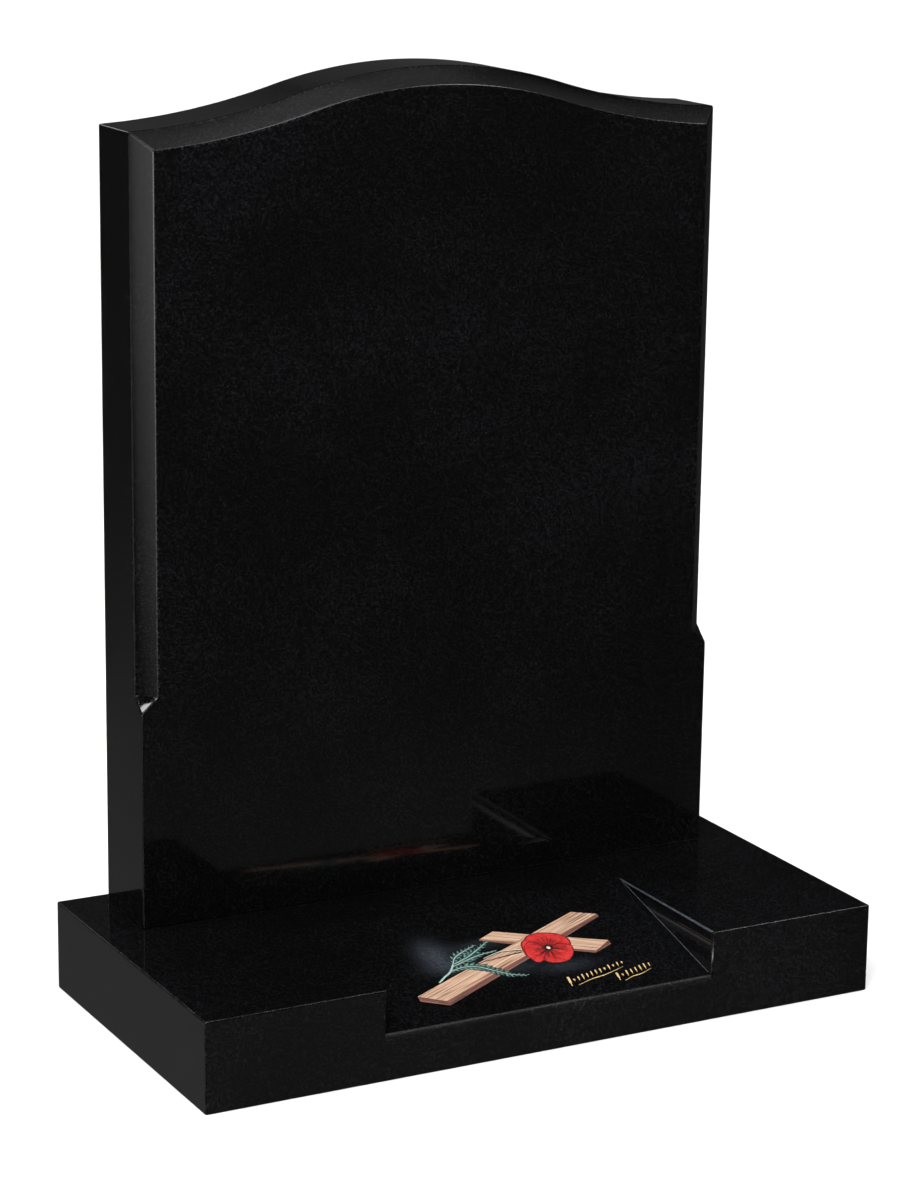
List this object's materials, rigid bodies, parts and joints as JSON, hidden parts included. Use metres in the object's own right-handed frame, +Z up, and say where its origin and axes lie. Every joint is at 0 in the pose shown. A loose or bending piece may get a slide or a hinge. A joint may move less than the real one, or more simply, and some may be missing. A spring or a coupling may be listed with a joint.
{
  "type": "ogee-topped headstone",
  "caption": "Upright ogee-topped headstone of polished black stone with a chamfered face, on a wide base with a sunk sloping panel between two raised blocks.",
  "frame": {"origin": "middle of the base's underside, on the ground", "axes": "+Z up, the inscribed face and the sloping panel look along -Y, +X to the right as seen from the front"},
  "size_m": [0.6096, 0.3048, 0.7667],
  "materials": {
    "polished_granite": "black granite, polished to a mirror on every face",
    "picture_paint": "stone enamel in several colours, semi-matt, brushed on thin",
    "gilding": "warm gold enamel, satin"
  },
  "bodies": {
    "root": {"base": "polished_granite", "tablet": "polished_granite"}
  },
  "joints": []
}
